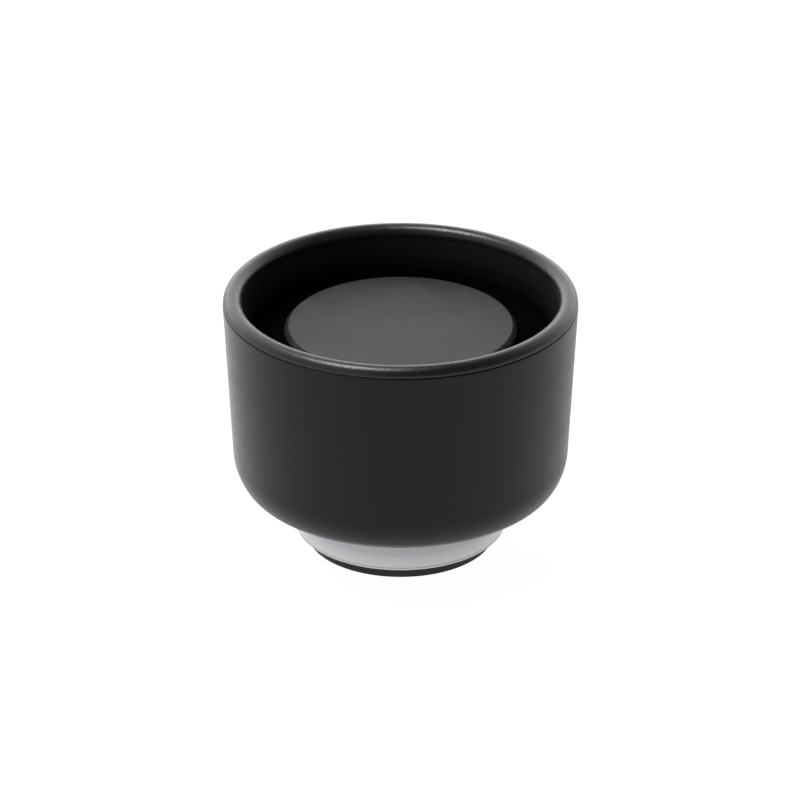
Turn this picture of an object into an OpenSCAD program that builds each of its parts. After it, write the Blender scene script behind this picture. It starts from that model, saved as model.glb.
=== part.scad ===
// Small lapidary barrel: a drafted round cup with a push-in plug lid.
// The lid carries a spring-loaded vent button in its well, and the cup
// stands on a narrower frosted collar with a rubber foot pad.
// Frame: +Z up, origin at the centre of the foot pad's underside.

/* [Outer shell] */
// Radius of the shell at the seam under the rim
shell_r = 55; // [53:0.5:60]
// Height of the seam between the shell and the rim
seam_z = 81.15; // [78:0.5:90]
// Height of the shell's flat underside
shell_z = 18.9; // [17:0.5:22]
// Half-angle of the wall's taper, degrees
draft = 2.78; // [1.5:0.1:3.5]
// Radius of the upper, larger part of the bottom round
round_a = 16.9; // [15:0.1:20]
// Radius of the lower, tighter part of the bottom round
round_b = 8.1; // [7.5:0.1:9.5]
// Wall thickness of the shell
wall = 2.4; // [2:0.1:2.6]

/* [Liner] */
// Rubber thickness behind the chamber's wall
liner_t = 4.4; // [3.5:0.1:4.6]
// Height of the chamber's floor
chamber_z = 27.4; // [26.5:0.1:30]
// Number of lifter ribs
rib_count = 8; // [4:1:12]
// Radius of a lifter rib's nose
rib_r = 2.4; // [1.8:0.1:2.6]

/* [Lid] */
// Radius of the rolled rim's section
rim_r = 2.9; // [2.4:0.1:3.2]
// Outer radius of the rolled rim
rim_out = 54.9; // [53:0.1:55]
// Outer radius of the plug that enters the mouth
plug_r = 50.4; // [49.8:0.1:50.5]
// Radius of the well at the height of the button's top
well_r = 47.9; // [46:0.1:48.2]
// Height of the floor of the moat round the button
floor_z = 65; // [64.6:0.1:67]
// Height of the pocket's wall round the button
edge_z = 67.7; // [67.2:0.05:67.8]
// Gap between the lid plug and the mouth ring, per side
plug_gap = 0.4; // [0.3:0.05:0.6]

/* [Vent button] */
// Radius of the button's pad
pad_r = 35.06; // [30:0.1:35.1]
// Radius of the flange under the pad
flange_r = 36.1; // [35.6:0.1:37]
// Height of the pad's top at rest
pad_z = 73.45; // [73:0.05:74.5]
// Travel of the button
travel = 3; // [2:0.5:3]
// Radius of the valve stem
stem_r = 2; // [1.5:0.1:2.2]
// Radial running clearance of the stem in its bush
stem_gap = 0.05; // [0.02:0.01:0.1]

/* [Base] */
// Radius of the foot pad
foot_r = 29.55; // [26:0.25:30]
// Thickness of the foot pad
foot_t = 4.4; // [4:0.1:6]
// Outer radius of the frosted collar's lip
collar_r = 33.3; // [32.5:0.1:35]
// Radius of the hard core inside the collar
core_r = 31; // [30.5:0.1:31.2]
// Pitch radius of the four collar screws
collar_pr = 20; // [18:0.5:20.5]
// Pitch radius of the four foot screws
foot_pr = 16; // [14:0.5:17]

/* [Hidden] */

FN = 160;            // segments of the round bodies
FA = 96;             // segments of the section arcs
seam_gap = 0.22;      // open line between shell and rim
top_z = seam_z + rim_r + 0.15;
rim_cz = top_z - rim_r;            // height of the rim section's centre
rim_cr = rim_out - rim_r;          // radius of the rim section's centre
split = 32;          // slope at which the two bottom rounds meet

// Centres and meeting points of the two rounds of the shell's bottom
wall_end_z = shell_z + round_b * (1 - sin(split)) + round_a * (sin(split) - sin(draft));
wall_end_r = shell_r - (seam_z - wall_end_z) * tan(draft);
ca = [wall_end_r - round_a * cos(draft), wall_end_z + round_a * sin(draft)];
cb = [ca[0] + (round_a - round_b) * cos(split), ca[1] - (round_a - round_b) * sin(split)];
function on(c, r, a) = [c[0] + r * cos(a), c[1] - r * sin(a)];
// Radius of the shell's outside at height z, moved inward by d
function wall_at(z, d = 0) = on(ca, round_a - d, draft)[0] + (z - on(ca, round_a - d, draft)[1]) * tan(draft);

bore_r = plug_r + plug_gap;        // mouth ring's bore
ring_z = 59;                       // mouth ring's lower end
ring_top = 80.3;
pocket_r = 35.3;                   // pocket that the button works in
pocket_w = 0.9;                    // thickness of the pocket's wall
channel_r = 32.6;                  // inner radius of the channel for the skirt
channel_z = 63.4;
well_low = 46.7;                   // well's radius at the foot of its wall
pocket_z = 64.6;
boss_r = 12;                       // boss round the spring well
spring_z = 61.5;                   // floor of the spring well
boss_z = 59.5;                     // underside of the boss
plate_t = 1.9;                     // underplate
carrier_top = 71.9;
flange_t = 0.8;
carrier_z = 69.4;
skirt_z = 66.8;
oring_z = [65.4, 70.1];
o_r = 1.1;                         // section radius of the lid's O-rings
up_pr = 26;                        // pitch radius of the underplate screws

module at4(r, a = 45) for (i = [0:3]) rotate(a + 90 * i) translate([r, 0, 0]) children();

// Sector of a round, from slope a0 to a1
module sector(c, r, a0, a1) intersection() {
    translate(c) circle(r = r, $fn = FA);
    polygon([c, on(c, 1.35 * r, a0), on(c, 1.35 * r, a1)]);
}

// Section of the shell's outside moved inward by d, filled to the axis, up to zt
module envelope(d, zt) {
    w = on(ca, round_a - d, draft);
    p = on(ca, round_a - d, split);
    b = on(cb, round_b - d, 90);
    polygon([[0, b[1]], b, p, w, [wall_at(zt, d), zt], [0, zt]]);
    sector(ca, round_a - d, draft, split);
    sector(cb, round_b - d, split, 90);
}

// Turned ring from r0 to r1 and z0 to z1
module ring(r0, r1, z0, z1) rotate_extrude($fn = FN) translate([r0, z0]) square([r1 - r0, z1 - z0]);

// Turned ring whose outer corners are rounded with radius e
module soft_ring(r0, r1, z0, z1, e) rotate_extrude($fn = FN) {
    translate([r0, z0]) square([r1 - e - r0, z1 - z0]);
    translate([r1 - e - 0.01, z0 + e]) square([e + 0.01, z1 - z0 - 2 * e]);
    for (z = [z0 + e, z1 - e]) translate([r1 - e, z]) circle(r = e, $fn = 48);
}

module o_ring(r, z, s) rotate_extrude($fn = FN) translate([r, z]) circle(r = s, $fn = 32);

// ---------------------------------------------------------------- barrel

// Drafted cup; its floor is drilled for the collar's spigot and four screws
module outer_shell() color([0.13, 0.13, 0.13]) difference() {
    rotate_extrude($fn = FN) difference() {
        envelope(0, seam_z - seam_gap / 2);
        envelope(wall, seam_z + 2);
        polygon([[shell_r - 0.45, seam_z], [shell_r + 1, seam_z], [shell_r + 1, seam_z - 0.6], [shell_r - 0.02, seam_z - 0.6]]);
    }
    translate([0, 0, shell_z - 1]) cylinder(r = 12.1, h = wall + 2, $fn = 96);
    at4(collar_pr) translate([0, 0, shell_z - 1]) cylinder(r = 2.1, h = wall + 2, $fn = 48);
}

// Rubber tub with upright lifter ribs, loose in the shell below the mouth ring
module barrel_liner() color([0.09, 0.09, 0.09]) difference() {
    union() {
        rotate_extrude($fn = FN) difference() {
            envelope(wall + 0.05, ring_z - 0.2);
            intersection() {
                envelope(wall + liner_t, ring_z + 2);
                translate([0, chamber_z]) square([60, 60]);
            }
        }
        for (i = [0:rib_count - 1]) rotate(360 / rib_count * (i + 0.5)) translate([wall_at(52, wall + liner_t), 0, 0]) {
            translate([0, 0, 34.6]) cylinder(r = rib_r, h = 20.6, $fn = 48);
            translate([0, 0, 55.2]) cylinder(r1 = rib_r, r2 = rib_r - 1, h = 1.6, $fn = 48);
            translate([0, 0, 33]) cylinder(r1 = rib_r - 1, r2 = rib_r, h = 1.6, $fn = 48);
        }
    }
    translate([0, 0, shell_z]) cylinder(r = 30.5, h = 24.3 - shell_z, $fn = 96);
}

// Hard ring bonded inside the mouth, bored for the lid plug, with a lead-in
module mouth_ring() color([0.16, 0.16, 0.16]) rotate_extrude($fn = FN) difference() {
    intersection() {
        envelope(wall + 0.05, ring_top);
        translate([bore_r, ring_z]) square([10, 40]);
    }
    polygon([[bore_r - 1, ring_top + 1], [bore_r + 1.6, ring_top + 1], [bore_r + 0.6, ring_top], [bore_r - 0.02, ring_top - 1.2], [bore_r - 1, ring_top - 1.2]]);
}

// Stainless disc that spreads the load of the collar screws
module backing_plate() color([0.72, 0.72, 0.74]) difference() {
    translate([0, 0, shell_z + wall]) cylinder(r = 29.5, h = 1, $fn = 96);
    at4(collar_pr) translate([0, 0, shell_z]) cylinder(r = 2.1, h = 10, $fn = 48);
}

module screw_washers() color([0.72, 0.72, 0.74]) at4(collar_pr) translate([0, 0, shell_z + wall + 1]) difference() {
    cylinder(r = 4.2, h = 0.5, $fn = 64);
    translate([0, 0, -1]) cylinder(r = 1.9, h = 3, $fn = 48);
}

// Four low-head machine screws down through the shell floor into the core
module collar_screws() color([0.75, 0.75, 0.77]) at4(collar_pr) {
    difference() {
        translate([0, 0, shell_z + wall + 1.5]) cylinder(r = 3.3, h = 1.3, $fn = 64);
        translate([0, 0, shell_z + wall + 2]) cylinder(r = 1.35, h = 3, $fn = 6);
    }
    translate([0, 0, 13.6]) cylinder(r = 1.5, h = shell_z + wall + 1.5 - 13.6, $fn = 48);
}

module threaded_inserts() color([0.78, 0.62, 0.3]) at4(collar_pr) difference() {
    union() {
        translate([0, 0, 12.6]) cylinder(r = 2.6, h = shell_z - 12.6, $fn = 64);
        for (z = [13.2, 16.2]) translate([0, 0, z]) cylinder(r = 2.85, h = 1.8, $fn = 64);
    }
    translate([0, 0, 10]) cylinder(r = 1.55, h = 20, $fn = 48);
}

module base_gasket() color([0.06, 0.06, 0.06]) o_ring(26.6, shell_z - 0.95, 0.95);

// Cored-out hub between the shell and the foot, with a spigot on top
module collar_core() color([0.12, 0.12, 0.12]) difference() {
    union() {
        translate([0, 0, foot_t]) cylinder(r = core_r - 0.05, h = shell_z - foot_t, $fn = FN);
        translate([0, 0, foot_t]) cylinder(r = 12, h = shell_z + wall - foot_t - 0.1, $fn = 96);
    }
    ring(25.6, 27.6, shell_z - 1.95, shell_z + 1);
    ring(24.6, 28.6, foot_t - 1, 15.6);
    ring(4.5, 10.5, foot_t - 1, 17.5);
    at4(collar_pr) {
        translate([0, 0, 12.5]) cylinder(r = 2.6, h = 10, $fn = 64);
        for (z = [13.15, 16.15]) translate([0, 0, z]) cylinder(r = 2.86, h = 1.9, $fn = 64);
        translate([0, 0, 9]) cylinder(r = 1.6, h = 10, $fn = 48);
    }
    at4(foot_pr, 0) translate([0, 0, foot_t - 1]) cylinder(r = 1.4, h = 9, $fn = 48);
}

// Frosted ring round the core: nearly straight wall over a rounded lip
module base_collar() color([0.72, 0.74, 0.76]) rotate_extrude($fn = FN) {
    polygon([[core_r, foot_t], [collar_r - 0.7, foot_t], [collar_r - 0.7, foot_t + 0.5], [collar_r - 0.27, foot_t + 1],
             [collar_r - 0.2, foot_t + 2.2], [collar_r, 10], [collar_r + 0.2, 14], [collar_r + 0.25, shell_z], [core_r, shell_z]]);
    translate([collar_r - 0.65, foot_t + 0.5]) circle(r = 0.5, $fn = 48);
}

// Rubber disc with concentric grip grooves and four sunk screw holes
module foot_pad() color([0.11, 0.11, 0.11]) difference() {
    soft_ring(0, foot_r, 0, foot_t, 0.5);
    for (r = [6.5, 10.5, 22, 25.5]) ring(r, r + 1.4, -1, 0.8);
    at4(foot_pr, 0) {
        translate([0, 0, -1]) cylinder(r = 3.4, h = 3.2, $fn = 64);
        translate([0, 0, -1]) cylinder(r = 1.6, h = 9, $fn = 48);
    }
}

module foot_screws() color([0.75, 0.75, 0.77]) at4(foot_pr, 0) {
    difference() {
        translate([0, 0, 0.7]) cylinder(r = 2.8, h = 1.5, $fn = 64);
        translate([0, 0, -1]) cylinder(r = 1.25, h = 2.7, $fn = 6);
    }
    translate([0, 0, 2.2]) cylinder(r = 1.35, h = 8.9, $fn = 48);
}

// ------------------------------------------------------------------- lid

// Rolled rim: a half-round nose over a short tongue that caps the dish wall
module lid_rim() color([0.15, 0.15, 0.15]) rotate_extrude($fn = FN) {
    intersection() {
        translate([rim_cr, rim_cz]) circle(r = rim_r, $fn = FA);
        translate([0, seam_z + seam_gap / 2]) square([60, 10]);
    }
    translate([rim_cr - rim_r, 80.2]) square([plug_r - rim_cr + rim_r, rim_cz - 80.2]);
}

// One moulding: plug wall, well, button pocket and spring well
module lid_dish() color([0.07, 0.07, 0.07]) difference() {
    union() {
        rotate_extrude($fn = FN) difference() {
            union() {
                difference() {
                    polygon([[4, boss_z], [boss_r, boss_z], [boss_r, pocket_z - 2], [31, pocket_z - 2], [31, channel_z - 1.6],
                             [pocket_r + 2.5, channel_z - 1.6], [pocket_r + 2.5, floor_z - 2], [46.8, floor_z - 2], [46.8, spring_z],
                             [plug_r - 0.4, spring_z], [plug_r, spring_z + 0.8], [plug_r, 80.2], [rim_cr - rim_r, 80.2],
                             [well_r + 0.1, 74.6], [well_low, floor_z + 3.4], [well_low, floor_z], [pocket_r + pocket_w, floor_z],
                             [pocket_r + pocket_w, edge_z], [pocket_r, edge_z], [pocket_r, channel_z], [channel_r, channel_z],
                             [channel_r, pocket_z], [10, pocket_z], [10, spring_z], [4, spring_z]]);
                }
                // coves at the two sides of the moat's floor
                difference() {
                    translate([well_low - 3.4, floor_z - 0.01]) square([3.4, 3.4]);
                    translate([well_low - 3.4, floor_z + 3.4]) circle(r = 3.4, $fn = 64);
                }
                difference() {
                    translate([pocket_r + pocket_w - 0.01, floor_z - 0.01]) square([1.2, 1.2]);
                    translate([pocket_r + pocket_w + 1.2, floor_z + 1.2]) circle(r = 1.2, $fn = 64);
                }
            }
            for (z = oring_z) translate([plug_r - 1.95, z - 1.2]) square([3, 2.4]);
        }
        at4(up_pr) translate([0, 0, boss_z + plate_t]) cylinder(r = 3.2, h = 2, $fn = 48);
    }
    at4(up_pr) translate([0, 0, boss_z]) cylinder(r = 1.2, h = 4.4, $fn = 48);
    at4(8.8, 0) translate([0, 0, boss_z - 1]) cylinder(r = 0.9, h = 4, $fn = 32);
}

// Face seal under the rim
module rim_gasket() color([0.05, 0.05, 0.05]) ring(plug_r + 0.05, 52.25, ring_top + 0.15, seam_z + seam_gap / 2);

// Two O-rings in the plug's grooves
module lid_o_rings() color([0.1, 0.1, 0.1]) for (z = oring_z) o_ring(plug_r + plug_gap - 0.1 - o_r, z, o_r);

// Cover that closes the lid from below
module lid_underplate() color([0.14, 0.14, 0.14]) difference() {
    ring(boss_r + 0.1, 49.2, boss_z, boss_z + plate_t);
    ring(46.75, 50, boss_z + plate_t - 0.02, boss_z + plate_t + 1);
    ring(boss_r + 3, boss_r + 4, boss_z - 1, boss_z + 0.5);
    ring(40, 41, boss_z - 1, boss_z + 0.5);
    at4(up_pr) translate([0, 0, boss_z - 1]) cylinder(r = 1.6, h = 5, $fn = 48);
}

module underplate_screws() color([0.75, 0.75, 0.77]) at4(up_pr) {
    difference() {
        translate([0, 0, boss_z - 1.5]) cylinder(r = 2.7, h = 1.5, $fn = 64);
        translate([0, 0, boss_z - 3]) cylinder(r = 1.15, h = 2.4, $fn = 6);
    }
    translate([0, 0, boss_z]) cylinder(r = 1.15, h = 4.3, $fn = 48);
}

// Flanged acetal bush that the valve stem runs in
module guide_bush() color([0.85, 0.85, 0.82]) difference() {
    union() {
        translate([0, 0, boss_z]) cylinder(r = 4, h = spring_z - boss_z + 0.5, $fn = 64);
        translate([0, 0, spring_z]) cylinder(r = 4.9, h = 1, $fn = 64);
    }
    translate([0, 0, boss_z - 1]) cylinder(r = stem_r + stem_gap, h = 10, $fn = 64);
}

// Rubber ring that the poppet closes against
module valve_seat() color([0.55, 0.16, 0.12]) ring(9.9, 11.9, boss_z - 0.9, boss_z);

// Open-coil spring: wire swept along a helix whose two ends lie flat
function coil_h(t, n) = t < 0.12 ? 0 : t > 0.88 ? 1 : (1 - cos(180 * (t - 0.12) / 0.76)) * 0.12 + (t - 0.12) / 0.76 * 0.76;
module coil(r, w, z0, z1, turns, seg = 24, k = 8) {
    n = turns * seg;
    pts = [for (i = [0:n]) let (t = i / n, a = 360 * turns * t, z = z0 + w + (z1 - z0 - 2 * w) * coil_h(t, n))
           for (j = [0:k - 1]) let (b = 360 * j / k) [(r + w * cos(b)) * cos(a), (r + w * cos(b)) * sin(a), z + w * sin(b)]];
    faces = concat([[for (j = [0:k - 1]) j]], [[for (j = [k - 1:-1:0]) n * k + j]],
        [for (i = [0:n - 1]) for (j = [0:k - 1]) let (p = i * k + j, q = i * k + (j + 1) % k) [p, p + k, q + k, q]]);
    polyhedron(points = pts, faces = faces, convexity = 8);
}
module return_spring() color([0.7, 0.7, 0.72]) coil(7, 0.42, spring_z, carrier_z, 5);

// ----------------------------------------------------------- vent button

// Soft-touch pad: rounded top edge over a bevelled side
module button_pad() color([0.3, 0.3, 0.3]) rotate_extrude($fn = FN) {
    e = pad_r - 0.5 + 0.5 * cos(45);
    f = pad_z - 0.5 + 0.5 * sin(45);
    polygon([[0, carrier_top], [flange_r - 0.15, carrier_top], [flange_r - 0.15, f - (flange_r - 0.15 - e)], [e, f],
             [pad_r - 0.5, pad_z - 0.5], [pad_r - 0.5, pad_z], [0, pad_z]]);
    translate([pad_r - 0.5, pad_z - 0.5]) circle(r = 0.5, $fn = 64);
}

// Hard cap under the pad: flange, guide skirt and a boss for the stem
module button_carrier() color([0.1, 0.1, 0.1]) difference() {
    union() {
        translate([0, 0, carrier_z]) cylinder(r = 34.9, h = carrier_top - carrier_z, $fn = FN);
        soft_ring(20, flange_r, carrier_top - flange_t, carrier_top, 0.3);
        ring(33.1, 34.9, skirt_z, carrier_z + 0.5);
        ring(18, 19.2, 68.4, carrier_z + 0.5);
        translate([0, 0, 66]) cylinder(r = 4.5, h = 4, $fn = 64);
    }
    translate([0, 0, 60]) cylinder(r = stem_r, h = 10.2, $fn = 64);
}

// Steel stem from the carrier, through the bush, to the nut
module valve_stem() color([0.78, 0.78, 0.8]) {
    translate([0, 0, 53.3]) cylinder(r = stem_r, h = 16.8, $fn = 64);
}

// Poppet disc and hub on the stem
module valve_poppet() color([0.8, 0.8, 0.78]) difference() {
    union() {
        translate([0, 0, 56.4]) cylinder(r = 12, h = 1.3, $fn = 96);
        translate([0, 0, 56.4]) cylinder(r = 4, h = 2.2, $fn = 64);
    }
    translate([0, 0, 50]) cylinder(r = stem_r, h = 20, $fn = 64);
}

module valve_washer() color([0.55, 0.16, 0.12]) ring(9.6, 11.9, 57.7, 58.45);

module stem_nut() color([0.78, 0.78, 0.8]) difference() {
    translate([0, 0, 54.2]) cylinder(r = 4.04, h = 2.2, $fn = 6);
    translate([0, 0, 50]) cylinder(r = stem_r, h = 10, $fn = 64);
}

outer_shell();
barrel_liner();
mouth_ring();
backing_plate();
collar_screws();
screw_washers();
threaded_inserts();
base_gasket();
collar_core();
base_collar();
foot_pad();
foot_screws();
lid_rim();
lid_dish();
rim_gasket();
lid_o_rings();
lid_underplate();
underplate_screws();
guide_bush();
valve_seat();
return_spring();
button_pad();
button_carrier();
valve_stem();
valve_poppet();
valve_washer();
stem_nut();
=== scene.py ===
import math
import bpy
import bmesh
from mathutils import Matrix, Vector


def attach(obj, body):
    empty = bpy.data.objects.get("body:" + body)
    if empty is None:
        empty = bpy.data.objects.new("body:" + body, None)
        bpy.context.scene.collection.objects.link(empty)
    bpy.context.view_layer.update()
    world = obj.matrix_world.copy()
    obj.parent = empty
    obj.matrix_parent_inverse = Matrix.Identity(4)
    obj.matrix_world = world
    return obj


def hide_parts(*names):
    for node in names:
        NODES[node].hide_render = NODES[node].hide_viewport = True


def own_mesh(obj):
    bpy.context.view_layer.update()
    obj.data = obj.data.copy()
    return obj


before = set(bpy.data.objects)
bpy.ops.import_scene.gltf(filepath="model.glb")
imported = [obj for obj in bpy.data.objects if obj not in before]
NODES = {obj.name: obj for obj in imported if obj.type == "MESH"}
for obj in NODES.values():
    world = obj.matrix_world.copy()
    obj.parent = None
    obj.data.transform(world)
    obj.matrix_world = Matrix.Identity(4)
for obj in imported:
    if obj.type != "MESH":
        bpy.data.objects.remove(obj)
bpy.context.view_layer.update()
SEG = 256          # segments round the big turned pieces
SMALL = 72          # segments round small turned pieces
MM = 0.001


# ------------------------------------------------------------------ camera
# Long lens, 26.4 degrees above the horizon, looking along +Y.
EL = math.radians(26.44)
DIST = 1.3396
AIM = Vector((-0.00017, 0.0, 0.04706))
cam_data = bpy.data.cameras.new("photo_camera")
cam_data.sensor_width = 36.0
cam_data.lens = 192.78
cam_data.clip_start = 0.05
cam_data.clip_end = 50.0
cam = bpy.data.objects.new("photo_camera", cam_data)
bpy.context.scene.collection.objects.link(cam)
cam.location = AIM + Vector((0.0, -DIST * math.cos(EL), DIST * math.sin(EL)))
cam.rotation_euler = (math.pi / 2 - EL, 0.0, 0.0)
bpy.context.scene.camera = cam


# ---------------------------------------------------------- shader helpers
def new_mat(name):
    m = bpy.data.materials.new(name)
    m.use_nodes = True
    nt = m.node_tree
    for n in list(nt.nodes):
        nt.nodes.remove(n)
    out = nt.nodes.new("ShaderNodeOutputMaterial")
    bs = nt.nodes.new("ShaderNodeBsdfPrincipled")
    nt.links.new(bs.outputs[0], out.inputs[0])
    return m, nt, bs


class Net:
    """Small wrapper that adds nodes to one material."""

    def __init__(self, nt):
        self.nt = nt
        self.coord = nt.nodes.new("ShaderNodeTexCoord").outputs["Object"]

    def link(self, a, b):
        self.nt.links.new(a, b)

    def put(self, socket, v):
        if isinstance(v, (int, float)):
            socket.default_value = v
        elif isinstance(v, (tuple, list)):
            socket.default_value = tuple(v) + ((1.0,) if len(v) == 3 and len(socket.default_value) == 4 else ())
        else:
            self.link(v, socket)

    def math(self, op, a, b=None, c=None, clamp=False):
        n = self.nt.nodes.new("ShaderNodeMath")
        n.operation = op
        n.use_clamp = clamp
        self.put(n.inputs[0], a)
        if b is not None:
            self.put(n.inputs[1], b)
        if c is not None:
            self.put(n.inputs[2], c)
        return n.outputs[0]

    def noise(self, scale, detail=4.0, rough=0.55, dist=0.0, vec=None, out="Fac"):
        n = self.nt.nodes.new("ShaderNodeTexNoise")
        n.inputs["Scale"].default_value = scale
        n.inputs["Detail"].default_value = detail
        n.inputs["Roughness"].default_value = rough
        n.inputs["Distortion"].default_value = dist
        self.link(vec if vec is not None else self.coord, n.inputs["Vector"])
        return n.outputs[out] if out in n.outputs else n.outputs[0]

    def voronoi(self, scale, feature="F1", vec=None, rand=1.0, out="Distance"):
        n = self.nt.nodes.new("ShaderNodeTexVoronoi")
        n.feature = feature
        n.inputs["Scale"].default_value = scale
        n.inputs["Randomness"].default_value = rand
        self.link(vec if vec is not None else self.coord, n.inputs["Vector"])
        return n.outputs[out]

    def mapping(self, scale=(1, 1, 1), loc=(0, 0, 0), rot=(0, 0, 0), vec=None):
        n = self.nt.nodes.new("ShaderNodeMapping")
        n.inputs["Scale"].default_value = scale
        n.inputs["Location"].default_value = loc
        n.inputs["Rotation"].default_value = rot
        self.link(vec if vec is not None else self.coord, n.inputs["Vector"])
        return n.outputs[0]

    def ramp(self, fac, stops, interp="LINEAR"):
        n = self.nt.nodes.new("ShaderNodeValToRGB")
        n.color_ramp.interpolation = interp
        cr = n.color_ramp
        while len(cr.elements) > 1:
            cr.elements.remove(cr.elements[-1])
        for i, (p, c) in enumerate(stops):
            e = cr.elements[0] if i == 0 else cr.elements.new(p)
            e.position = p
            c = (c, c, c) if isinstance(c, (int, float)) else c
            e.color = (c[0], c[1], c[2], 1.0)
        self.link(fac, n.inputs[0])
        return n.outputs[0]

    def range(self, v, a, b, c, d, smooth=False):
        n = self.nt.nodes.new("ShaderNodeMapRange")
        n.interpolation_type = "SMOOTHSTEP" if smooth else "LINEAR"
        n.clamp = True
        self.put(n.inputs["Value"], v)
        n.inputs["From Min"].default_value = a
        n.inputs["From Max"].default_value = b
        n.inputs["To Min"].default_value = c
        n.inputs["To Max"].default_value = d
        return n.outputs[0]

    def mix(self, fac, a, b, mode="MIX"):
        n = self.nt.nodes.new("ShaderNodeMix")
        n.data_type = "RGBA"
        n.blend_type = mode
        self.put(n.inputs[0], fac)
        self.put(n.inputs[6], a)
        self.put(n.inputs[7], b)
        return n.outputs[2]

    def bump(self, height, strength, dist, normal=None):
        n = self.nt.nodes.new("ShaderNodeBump")
        n.inputs["Strength"].default_value = strength
        n.inputs["Distance"].default_value = dist
        self.link(height, n.inputs["Height"])
        if normal is not None:
            self.link(normal, n.inputs["Normal"])
        return n.outputs[0]

    def xyz(self, vec=None):
        n = self.nt.nodes.new("ShaderNodeSeparateXYZ")
        self.link(vec if vec is not None else self.coord, n.inputs[0])
        return n.outputs

    def radius(self):
        s = self.xyz()
        return self.math("SQRT", self.math("ADD", self.math("MULTIPLY", s[0], s[0]), self.math("MULTIPLY", s[1], s[1])))

    def scratch(self, centre, radius, width, a0=None, a1=None):
        """1 on a thin arc of a circle in the XY plane, 0 elsewhere."""
        v = self.mapping(loc=(-centre[0], -centre[1], 0))
        s = self.xyz(v)
        r = self.math("SQRT", self.math("ADD", self.math("MULTIPLY", s[0], s[0]), self.math("MULTIPLY", s[1], s[1])))
        line = self.range(self.math("ABSOLUTE", self.math("SUBTRACT", r, radius)), 0.0, width, 1.0, 0.0, True)
        if a0 is not None:
            ang = self.math("ARCTAN2", s[1], s[0])
            mid, half = (a0 + a1) / 2, (a1 - a0) / 2
            line = self.math("MULTIPLY", line, self.range(self.math("ABSOLUTE", self.math("SUBTRACT", ang, mid)), half * 0.4, half, 1.0, 0.0, True))
        return line


def setp(bs, **kw):
    for k, v in kw.items():
        bs.inputs[k.replace("_", " ")].default_value = v


def grain_plastic(name, base, rough, grain=0.25, grain_depth=0.02, mottle=0.15, dust=0.0, spec=0.5, streak=0.0, smudge=0.0, sheen=0.0, spark=0.0):
    """Moulded plastic: spark grain, slight tone drift, faint handling marks, optional dust specks."""
    m, nt, bs = new_mat(name)
    n = Net(nt)
    big = n.noise(38.0, 5.0, 0.6, 0.3)
    mid = n.noise(260.0, 4.0, 0.6)
    fine = n.noise(1000.0 / grain, 3.0, 0.65)
    cell = n.voronoi(1000.0 / (grain * 1.7), "SMOOTH_F1")
    tone = n.math("ADD", n.math("MULTIPLY", big, 0.6), n.math("MULTIPLY", mid, 0.4))
    lo = tuple(c * (1 - mottle) for c in base)
    hi = tuple(c * (1 + mottle) for c in base)
    col = n.ramp(tone, [(0.3, lo), (0.7, hi)])
    speck = n.range(fine, 0.62, 0.78, 0.0, 1.0)
    col = n.mix(n.math("MULTIPLY", speck, 0.35), col, tuple(min(1, c * 2.1 + 0.004) for c in base))
    rgh = n.range(n.math("ADD", n.math("MULTIPLY", mid, 0.5), n.math("MULTIPLY", big, 0.5)), 0.3, 0.7, rough - 0.05, rough + 0.05)
    if streak:
        st = n.noise(9.0, 6.0, 0.7, 0.0, n.mapping(scale=(1, 1, 40)))
        rgh = n.math("ADD", rgh, n.range(st, 0.35, 0.7, -streak, streak))
    if smudge:
        sm = n.range(n.noise(55.0, 6.0, 0.62, 1.2), 0.48, 0.66, 0.0, 1.0, True)
        col = n.mix(n.math("MULTIPLY", sm, smudge), col, tuple(c * 1.8 + 0.006 for c in base))
        rgh = n.math("ADD", rgh, n.math("MULTIPLY", sm, 0.10))
    if spark:
        rgh = n.math("ADD", rgh, n.range(fine, 0.32, 0.68, -spark, spark))
    if dust:
        d = n.voronoi(420.0, "F1")
        pick = n.range(n.noise(170.0, 2.0, 0.5), 0.56, 0.62, 0.0, 1.0)
        spots = n.math("MULTIPLY", n.range(d, 0.05, 0.09, 1.0, 0.0, True), pick)
        col = n.mix(n.math("MULTIPLY", spots, dust), col, (0.22, 0.21, 0.20))
        rgh = n.math("ADD", rgh, n.math("MULTIPLY", spots, 0.2))
    n.link(col, bs.inputs["Base Color"])
    n.link(rgh, bs.inputs["Roughness"])
    h = n.math("ADD", n.math("MULTIPLY", fine, 0.6), n.math("MULTIPLY", cell, 0.4))
    nb = n.bump(h, 0.55, grain_depth * MM)
    nb = n.bump(big, 0.25, 0.12 * MM, nb)
    n.link(nb, bs.inputs["Normal"])
    bs.inputs["Specular IOR Level"].default_value = spec
    bs.inputs["Sheen Weight"].default_value = sheen
    bs.inputs["Sheen Roughness"].default_value = 0.35
    return m


def rubber(name, base, rough=0.62, spec=0.35, bloom=0.3, grain=0.5):
    m, nt, bs = new_mat(name)
    n = Net(nt)
    a = n.noise(60.0, 6.0, 0.62, 0.8)
    f = n.noise(1000.0 / grain, 4.0, 0.7)
    col = n.ramp(a, [(0.32, tuple(c * 0.8 for c in base)), (0.6, base), (0.78, tuple(c * (1 + bloom * 2) + 0.004 * bloom for c in base))])
    n.link(col, bs.inputs["Base Color"])
    n.link(n.range(a, 0.3, 0.7, rough - 0.06, rough + 0.08), bs.inputs["Roughness"])
    nb = n.bump(f, 0.5, 0.03 * MM)
    n.link(nb, bs.inputs["Normal"])
    bs.inputs["Specular IOR Level"].default_value = spec
    return m


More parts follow.
